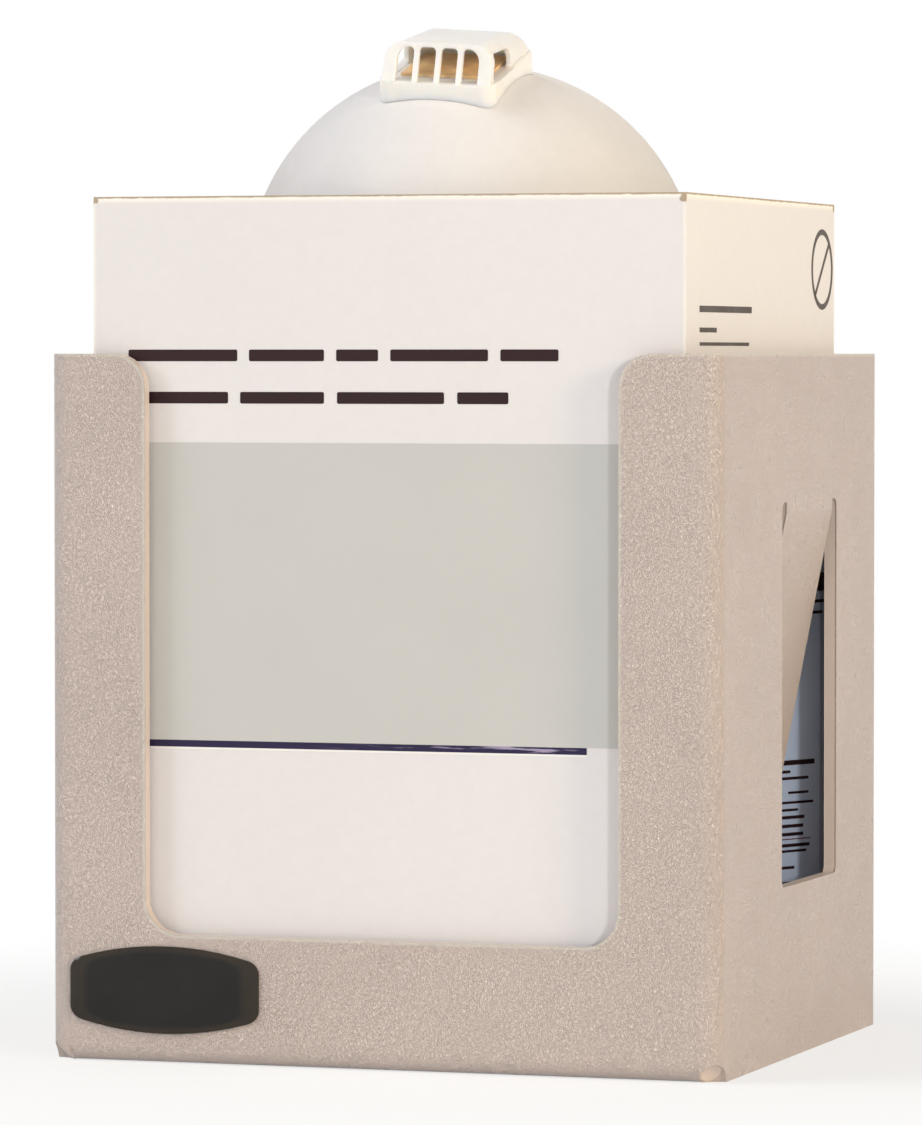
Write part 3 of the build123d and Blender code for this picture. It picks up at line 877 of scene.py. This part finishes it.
def strap_pair():
    """Front and back strap of the top mask, standing on its rim round the dome."""
    foot, radius, half_barrel, skirt = cup_sizes()
    line = radius + STRAP_CLEARANCE + STRAP_THICKNESS / 2
    base = foot + Vector((0, 0, CUP_RIM_THICKNESS))
    bpy.ops.object.select_all(action="DESELECT")
    bpy.ops.mesh.primitive_circle_add(vertices=160, radius=line, location=base)
    piece = added("strap_pair")
    settle(piece)
    edit(piece)
    pick(piece, "verts", lambda vert: abs(vert.co.y - foot.y) < 0.01 * MM)
    bpy.ops.mesh.delete(type="VERT")
    open_halves(piece, foot, half_barrel)
    for side in (-1, 1):
        for end in (-1, 1):
            pick(piece, "verts", lambda vert: (
                len(vert.link_edges) == 1
                and side * (vert.co.y - foot.y) > 0
                and end * vert.co.x > 0))
            loose = [vert for vert in bmesh.from_edit_mesh(piece.data).verts if vert.select][0]
            move = foot.y + side * STRAP_END_GAP - loose.co.y
            bpy.ops.mesh.extrude_region_move(TRANSFORM_OT_translate={"value": (0, move, 0)})
    rows = 4
    bpy.ops.mesh.select_all(action="SELECT")
    for row in range(rows):
        bpy.ops.mesh.extrude_region_move(
            TRANSFORM_OT_translate={"value": (0, 0, STRAP_WIDTH / rows)})
    done()
    map_weave(piece, foot, line)
    wave_edges(piece, foot, base.z)
    modify(piece, "SOLIDIFY", thickness=STRAP_THICKNESS * 0.92, offset=0)
    modify(piece, "BEVEL", width=0.18 * MM, segments=2, limit_method="ANGLE")
    settle(piece, 40)
    return piece


def map_weave(piece, foot, radius):
    """Map of the strap: distance along it, and height, both in metres."""
    mesh = bmesh.new()
    mesh.from_mesh(piece.data)
    layer = mesh.loops.layers.uv.new("Weave")
    for face in mesh.faces:
        for loop in face.loops:
            spot = loop.vert.co - foot
            loop[layer].uv = (math.atan2(spot.x, abs(spot.y)) * radius, spot.z)
    mesh.to_mesh(piece.data)
    mesh.free()


def wave_edges(piece, foot, base_height):
    """Lets the free upper edge of the strap wander a little, as limp elastic does."""
    for vert in piece.data.vertices:
        spot = vert.co - foot
        lift = (vert.co.z - base_height) / STRAP_WIDTH
        turn = math.atan2(spot.y, spot.x)
        sway = (math.sin(5 * turn) + 0.6 * math.sin(11 * turn + 1)) * 0.25 * MM * lift
        outward = Vector((spot.x, spot.y, 0)).normalized()
        vert.co += outward * sway - Vector((0, 0, lift * (0.2 * MM + abs(sway))))


def badge_dome():
    """Resin label: bowed outline, rounded edge and a crowned face with a line round it."""
    width = BADGE_HIGH.x - BADGE_LOW.x
    tallest = BADGE_HIGH.z - BADGE_LOW.z
    middle = (BADGE_LOW + BADGE_HIGH) / 2
    half = width / 2
    bow = (tallest - BADGE_END_HEIGHT) / 2
    bow_radius = (half**2 + bow**2) / (2 * bow)
    bpy.ops.object.select_all(action="DESELECT")
    bpy.ops.mesh.primitive_plane_add(
        size=1, location=(middle.x, BADGE_HIGH.y, middle.z), rotation=(math.pi / 2, 0, 0))
    piece = added("badge_dome")
    piece.scale = (width, BADGE_END_HEIGHT, 1)
    settle(piece)
    edit(piece)
    pick(piece, "edges", lambda edge: abs(edge.verts[0].co.z - edge.verts[1].co.z) < 0.01 * MM)
    bpy.ops.mesh.subdivide(number_cuts=14)
    mesh = bmesh.from_edit_mesh(piece.data)
    for vert in mesh.verts:
        off = vert.co.x - middle.x
        rise = math.sqrt(bow_radius**2 - off**2) - (bow_radius - bow)
        vert.co.z += math.copysign(rise, vert.co.z - middle.z)
    bmesh.update_edit_mesh(piece.data)
    bpy.ops.mesh.select_all(action="SELECT")
    bpy.ops.mesh.dissolve_faces()
    pick(piece, "verts", lambda vert: half - abs(vert.co.x - middle.x) < 0.01 * MM)
    bpy.ops.mesh.bevel(offset=BADGE_CORNER, segments=8, affect="VERTICES")
    thickness = BADGE_HIGH.y - BADGE_LOW.y
    wall = 0.45 * thickness
    bpy.ops.mesh.select_all(action="SELECT")
    bpy.ops.mesh.extrude_region_move(TRANSFORM_OT_translate={"value": (0, -wall, 0)})
    high = tallest / 2
    reach = BADGE_CROWN[-1]
    level = [0.0]
    for before, inset in zip(BADGE_CROWN, BADGE_CROWN[1:]):
        rise = (thickness - wall) * (1 - (1 - inset / reach) ** 2.4)
        bpy.ops.mesh.extrude_region_move(
            TRANSFORM_OT_translate={"value": (0, level[-1] - rise, 0)})
        shrink = [(size - inset) / (size - before) for size in (half, high)]
        bpy.ops.transform.resize(value=(shrink[0], 1, shrink[1]), center_override=middle)
        level.append(rise)
    done()
    line = BADGE_CROWN.index(BADGE_LINE_INSET)
    low, top = (wall + level[line + step] for step in (0, 1))
    for face in piece.data.polygons:
        if low < BADGE_HIGH.y - face.center.y < top:
            face.material_index = 1
    return piece


def bars(name, rows, facing, finish_, swell=0.0):
    """Flat printed bars on the carton, given as distance, height, length and thickness in mm."""
    piece = None
    for along, up, length, thick in rows:
        if facing == "front":
            spot = (CARTON_LOW.x + (along + length / 2) * MM, CARTON_LOW.y, CARTON_LOW.z + up * MM)
            turn = (math.pi / 2, 0, 0)
        else:
            spot = (CARTON_HIGH.x, CARTON_LOW.y + (along + length / 2) * MM, CARTON_LOW.z + up * MM)
            turn = (math.pi / 2, 0, math.pi / 2)
        if piece is None:
            bpy.ops.object.select_all(action="DESELECT")
            bpy.ops.mesh.primitive_plane_add(size=1, location=spot, rotation=turn)
            piece = added(name)
            settle(piece)
            edit(piece)
            bpy.ops.mesh.select_all(action="SELECT")
        else:
            bpy.ops.mesh.primitive_plane_add(size=1, location=spot, rotation=turn)
        grown = (length * MM, 1, thick * MM) if facing == "front" else (1, length * MM, thick * MM)
        bpy.ops.transform.resize(value=grown, center_override=spot)
    if swell:
        bpy.ops.mesh.select_all(action="SELECT")
        bpy.ops.mesh.bevel(offset=swell, segments=4, affect="VERTICES")
    done()
    return piece


def lay_ink(piece, finish_, direction, lift=0.01 * MM):
    """Gives flat print its thickness off the board."""
    piece.data.transform(Matrix.Translation(Vector(direction) * lift))
    modify(piece, "SOLIDIFY", thickness=sizes().ink_thickness, offset=1)
    settle(piece)
    dress(piece, finish_, "carton_board")


def front_print():
    """Word bars, grey field, dark band and hairline on the carton's front."""
    ink = ink_finish("ink_words", colours().words)
    front = (0, -1, 0)
    height = sizes().word_height / MM
    rows = [(start, up, length, height) for up, words in WORD_ROWS for start, length in words]
    lay_ink(bars("print_words", rows, "front", ink, 0.4 * MM), ink, front)

    def block(name, span, heights, colour, streaks=0.0, corner=0.0):
        row = (span[0], sum(heights) / 2, span[1] - span[0], heights[1] - heights[0])
        paint = ink_finish("ink_" + name, colour, streaks)
        lay_ink(bars("print_" + name, [row], "front", paint, corner), paint, front)

    block("field", FIELD_SIDES, FIELD_HEIGHTS, colours().field)
    block("band", BAND_SIDES, BAND_HEIGHTS, colours().band, 0.9)
    block("hairline", BAND_SIDES, HAIRLINE_HEIGHTS, (0.88, 0.86, 0.84))


def side_print():
    """Small rows, a plain ring and its slash on the carton's right side."""
    ink = ink_finish("ink_side", colours().small_words)
    right = (1, 0, 0)
    lay_ink(bars("print_side_rows", SIDE_ROWS, "side", ink), ink, right)

    along, up = RING_CENTRE
    centre = Vector((CARTON_HIGH.x, CARTON_LOW.y + along * MM, CARTON_LOW.z + up * MM))
    bpy.ops.object.select_all(action="DESELECT")
    bpy.ops.mesh.primitive_circle_add(
        vertices=72, radius=RING_RADIUS * MM, location=centre, rotation=(math.pi / 2, 0, math.pi / 2))
    ring = added("print_ring")
    settle(ring)
    edit(ring)
    bpy.ops.mesh.select_all(action="SELECT")
    shrink = 1 - RING_STROKE / RING_RADIUS
    bpy.ops.mesh.extrude_region_move(TRANSFORM_OT_translate={"value": (0, 0, 0)})
    bpy.ops.transform.resize(value=(1, shrink, shrink), center_override=centre)
    done()
    only(ring)
    edit(ring)
    bpy.ops.mesh.primitive_plane_add(size=1, location=centre, rotation=(math.pi / 2, 0, math.pi / 2))
    bpy.ops.transform.resize(
        value=(1, 1.9 * RING_RADIUS * MM, 1.2 * MM), center_override=centre)
    bpy.ops.transform.rotate(
        value=math.radians(-45), orient_axis="X", center_override=centre)
    bpy.ops.mesh.select_all(action="SELECT")
    bpy.ops.mesh.normals_make_consistent(inside=False)
    done()
    face_outward(ring, Vector(right))
    lay_ink(ring, ink, right)


def face_outward(piece, direction):
    """Turns each face of flat print to look one way."""
    mesh = bmesh.new()
    mesh.from_mesh(piece.data)
    mesh.normal_update()
    backward = [face for face in mesh.faces if face.normal.dot(direction) < 0]
    bmesh.ops.reverse_faces(mesh, faces=backward)
    mesh.to_mesh(piece.data)
    mesh.free()


def window_print():
    """Rows of print low on the carton's side, pressed in with the board."""
    for name, rows, colour in (
        ("print_window_rows", WINDOW_ROWS, colours().words),
        ("print_window_rule", [WINDOW_RULE], colours().rule),
    ):
        ink = ink_finish("ink_" + name, colour)
        piece = bars(name, rows, "side", ink)
        edit(piece)
        bpy.ops.mesh.select_all(action="SELECT")
        bpy.ops.mesh.subdivide(number_cuts=11)
        done()
        piece.data.transform(Matrix.Translation((2 * MM, 0, 0)))
        modify(piece, "SHRINKWRAP", target=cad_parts["carton"], wrap_method="PROJECT",
               use_project_x=True, use_positive_direction=False, use_negative_direction=True)
        lay_ink(piece, ink, (1, 0, 0), 0.04 * MM)


# Stage


def area_light(name, azimuth, elevation, distance, size, level, colour):
    """Soft lamp that adds level times a surface's own colour where it faces the lamp."""
    target = Vector((0, 0, 0.12))
    turn = Vector((
        math.sin(azimuth) * math.cos(elevation),
        -math.cos(azimuth) * math.cos(elevation),
        math.sin(elevation),
    ))
    lamp = bpy.data.lights.new(name, "AREA")
    lamp.shape = "DISK"
    lamp.size = size
    lamp.color = colour
    lamp.energy = level * math.pi**2 * distance**2
    holder = bpy.data.objects.new(name, lamp)
    holder.location = target + turn * distance
    holder.rotation_euler = turn.to_track_quat("Z", "Y").to_euler()
    bpy.context.scene.collection.objects.link(holder)


def white_world():
    """White to camera and mirror rays, and softer light on the object."""
    world = bpy.data.worlds.new("Studio")
    world.use_nodes = True
    world.node_tree.nodes.clear()
    graph = Graph(world.node_tree)
    rays = graph.node("ShaderNodeLightPath").outputs
    seen = graph.math("MAXIMUM", rays["Is Camera Ray"], rays["Is Glossy Ray"])
    seen = graph.math("MAXIMUM", seen, rays["Is Transmission Ray"])
    soft = graph.node("ShaderNodeBackground", {"Color": (1, 1, 1, 1), "Strength": 0.36})
    white = graph.node("ShaderNodeBackground", {"Color": (1, 1, 1, 1), "Strength": 1.0})
    both = graph.node("ShaderNodeMixShader", {0: seen, 1: soft.outputs[0], 2: white.outputs[0]})
    graph.node("ShaderNodeOutputWorld", {"Surface": both.outputs[0]})
    bpy.context.scene.world = world


def floor_finish():
    """Pale floor that keeps the shadow near the object and turns white further out."""
    made, graph, shader = finish("studio_floor")
    place = graph.place()
    graph.put(shader["Base Color"], (0.92, 0.92, 0.91, 1.0))
    graph.put(shader["Roughness"], 0.9)
    rays = graph.node("ShaderNodeLightPath").outputs
    seen = graph.math("MAXIMUM", rays["Is Camera Ray"], rays["Is Glossy Ray"])
    seen = graph.math("MAXIMUM", seen, rays["Is Transmission Ray"])
    far = graph.ease(graph.vector("LENGTH", place), 0.1, 0.32, 0.65, 1.0)
    glow = graph.node("ShaderNodeEmission", {"Color": (1, 1, 1, 1), "Strength": 1.0})
    surface = [node for node in made.node_tree.nodes if node.type == "OUTPUT_MATERIAL"][0]
    body = [node for node in made.node_tree.nodes if node.type == "BSDF_PRINCIPLED"][0]
    both = graph.node("ShaderNodeMixShader", {
        0: graph.math("MULTIPLY", seen, far), 1: body.outputs[0], 2: glow.outputs[0]})
    graph.put(surface.inputs["Surface"], both.outputs[0])
    return made


class DISPENSER_OT_holder(Operator):
    """Finish the folded sheet holder"""

    bl_idname = "dispenser.holder"
    bl_label = "Holder"

    def execute(self, context):
        repaint("sheet_holder", sheet_finish())
        return {"FINISHED"}


class DISPENSER_OT_badge(Operator):
    """Model the domed resin label"""

    bl_idname = "dispenser.badge"
    bl_label = "Badge"

    def execute(self, context):
        piece = badge_dome()
        settle(piece, 50)
        dress(piece, badge_finish(), "badge_resin", "front_badge")
        piece.data.materials.append(badge_line_finish())
        return {"FINISHED"}


class DISPENSER_OT_carton(Operator):
    """Finish the carton's board and lay its print"""

    bl_idname = "dispenser.carton"
    bl_label = "Carton"

    def execute(self, context):
        repaint("carton", board_finish())
        front_print()
        side_print()
        window_print()
        return {"FINISHED"}


class DISPENSER_OT_cups(Operator):
    """Model the moulded cup once and lay one for each mask"""

    bl_idname = "dispenser.cups"
    bl_label = "Mask cups"

    def execute(self, context):
        fleece = fleece_finish()
        for number, piece in copies(cup_shell(), "cup_shell", mask_shifts()).items():
            dress(piece, fleece, "mask_fleece", "mask_cup_" + number)
        return {"FINISHED"}


class DISPENSER_OT_straps(Operator):
    """Model the pair of straps once and lay one for each mask"""

    bl_idname = "dispenser.straps"
    bl_label = "Head straps"

    def execute(self, context):
        elastic = strap_finish()
        for number, piece in copies(strap_pair(), "strap_pair", mask_shifts()).items():
            dress(piece, elastic, "strap_elastic", "head_straps_" + number)
        return {"FINISHED"}


class DISPENSER_OT_valves(Operator):
    """Finish the valves and the nose clips"""

    bl_idname = "dispenser.valves"
    bl_label = "Valves and clips"

    def execute(self, context):
        finishes = {"valve_cover_": valve_finish(), "valve_flap_": flap_finish(), "nose_clip_": clip_finish()}
        for number in MASK_NUMBERS:
            for stem, made in finishes.items():
                repaint(stem + number, made)
        return {"FINISHED"}


class DISPENSER_OT_stage(Operator):
    """Set the floor, the lamps, the white surroundings and the camera"""

    bl_idname = "dispenser.stage"
    bl_label = "Stage"

    def execute(self, context):
        bpy.ops.object.select_all(action="DESELECT")
        bpy.ops.mesh.primitive_plane_add(size=40, location=(0, 0, -0.02 * MM))
        floor = added("studio_floor")
        settle(floor)
        floor.data.materials.append(floor_finish())
        white_world()
        area_light("front_soft", math.radians(-50), math.radians(22), 2.4, 0.8, 0.2, (0.95, 0.98, 1.0))
        area_light("corner_key", math.radians(72), math.radians(16), 2.2, 0.6, 0.46, (1.0, 0.78, 0.46))
        area_light("top_soft", math.radians(-70), math.radians(50), 2.4, 1.2, 0.34, (1.0, 0.97, 0.94))
        area_light("bend_strip", math.radians(40), math.radians(8), 2.2, 0.25, 0.24, (0.97, 0.98, 1.0))
        lens = bpy.data.cameras.new("photo_camera")
        lens.lens = CAMERA_LENS
        lens.clip_start = 0.05
        camera = bpy.data.objects.new("photo_camera", lens)
        camera.location = CAMERA_PLACE
        camera.rotation_euler = CAMERA_TURN
        context.scene.collection.objects.link(camera)
        context.scene.camera = camera
        context.scene.view_settings.view_transform = "Standard"
        return {"FINISHED"}


OPERATORS = [
    DISPENSER_OT_holder, DISPENSER_OT_badge, DISPENSER_OT_carton, DISPENSER_OT_cups,
    DISPENSER_OT_straps, DISPENSER_OT_valves, DISPENSER_OT_stage,
]


class DISPENSER_PT_sidebar(Panel):
    """Lists the steps, sizes and colours of the dispenser"""

    bl_label = "Face mask dispenser"
    bl_idname = "DISPENSER_PT_sidebar"
    bl_space_type = "VIEW_3D"
    bl_region_type = "UI"
    bl_category = "Dispenser"

    def draw(self, context):
        for operator in OPERATORS:
            self.layout.operator(operator.bl_idname)
        for group in (context.scene.dispenser_sizes, context.scene.dispenser_colours):
            for name in group.__annotations__:
                self.layout.prop(group, name)


CLASSES = [DispenserSizes, DispenserColours, *OPERATORS, DISPENSER_PT_sidebar]


def register():
    for item in CLASSES:
        bpy.utils.register_class(item)
    bpy.types.Scene.dispenser_sizes = PointerProperty(type=DispenserSizes)
    bpy.types.Scene.dispenser_colours = PointerProperty(type=DispenserColours)


def unregister():
    del bpy.types.Scene.dispenser_colours
    del bpy.types.Scene.dispenser_sizes
    for item in reversed(CLASSES):
        bpy.utils.unregister_class(item)


def main():
    register()
    bpy.ops.dispenser.holder()
    bpy.ops.dispenser.badge()
    bpy.ops.dispenser.carton()
    bpy.ops.dispenser.cups()
    bpy.ops.dispenser.straps()
    bpy.ops.dispenser.valves()
    bpy.ops.dispenser.stage()


if __name__ == "__main__":
    main()
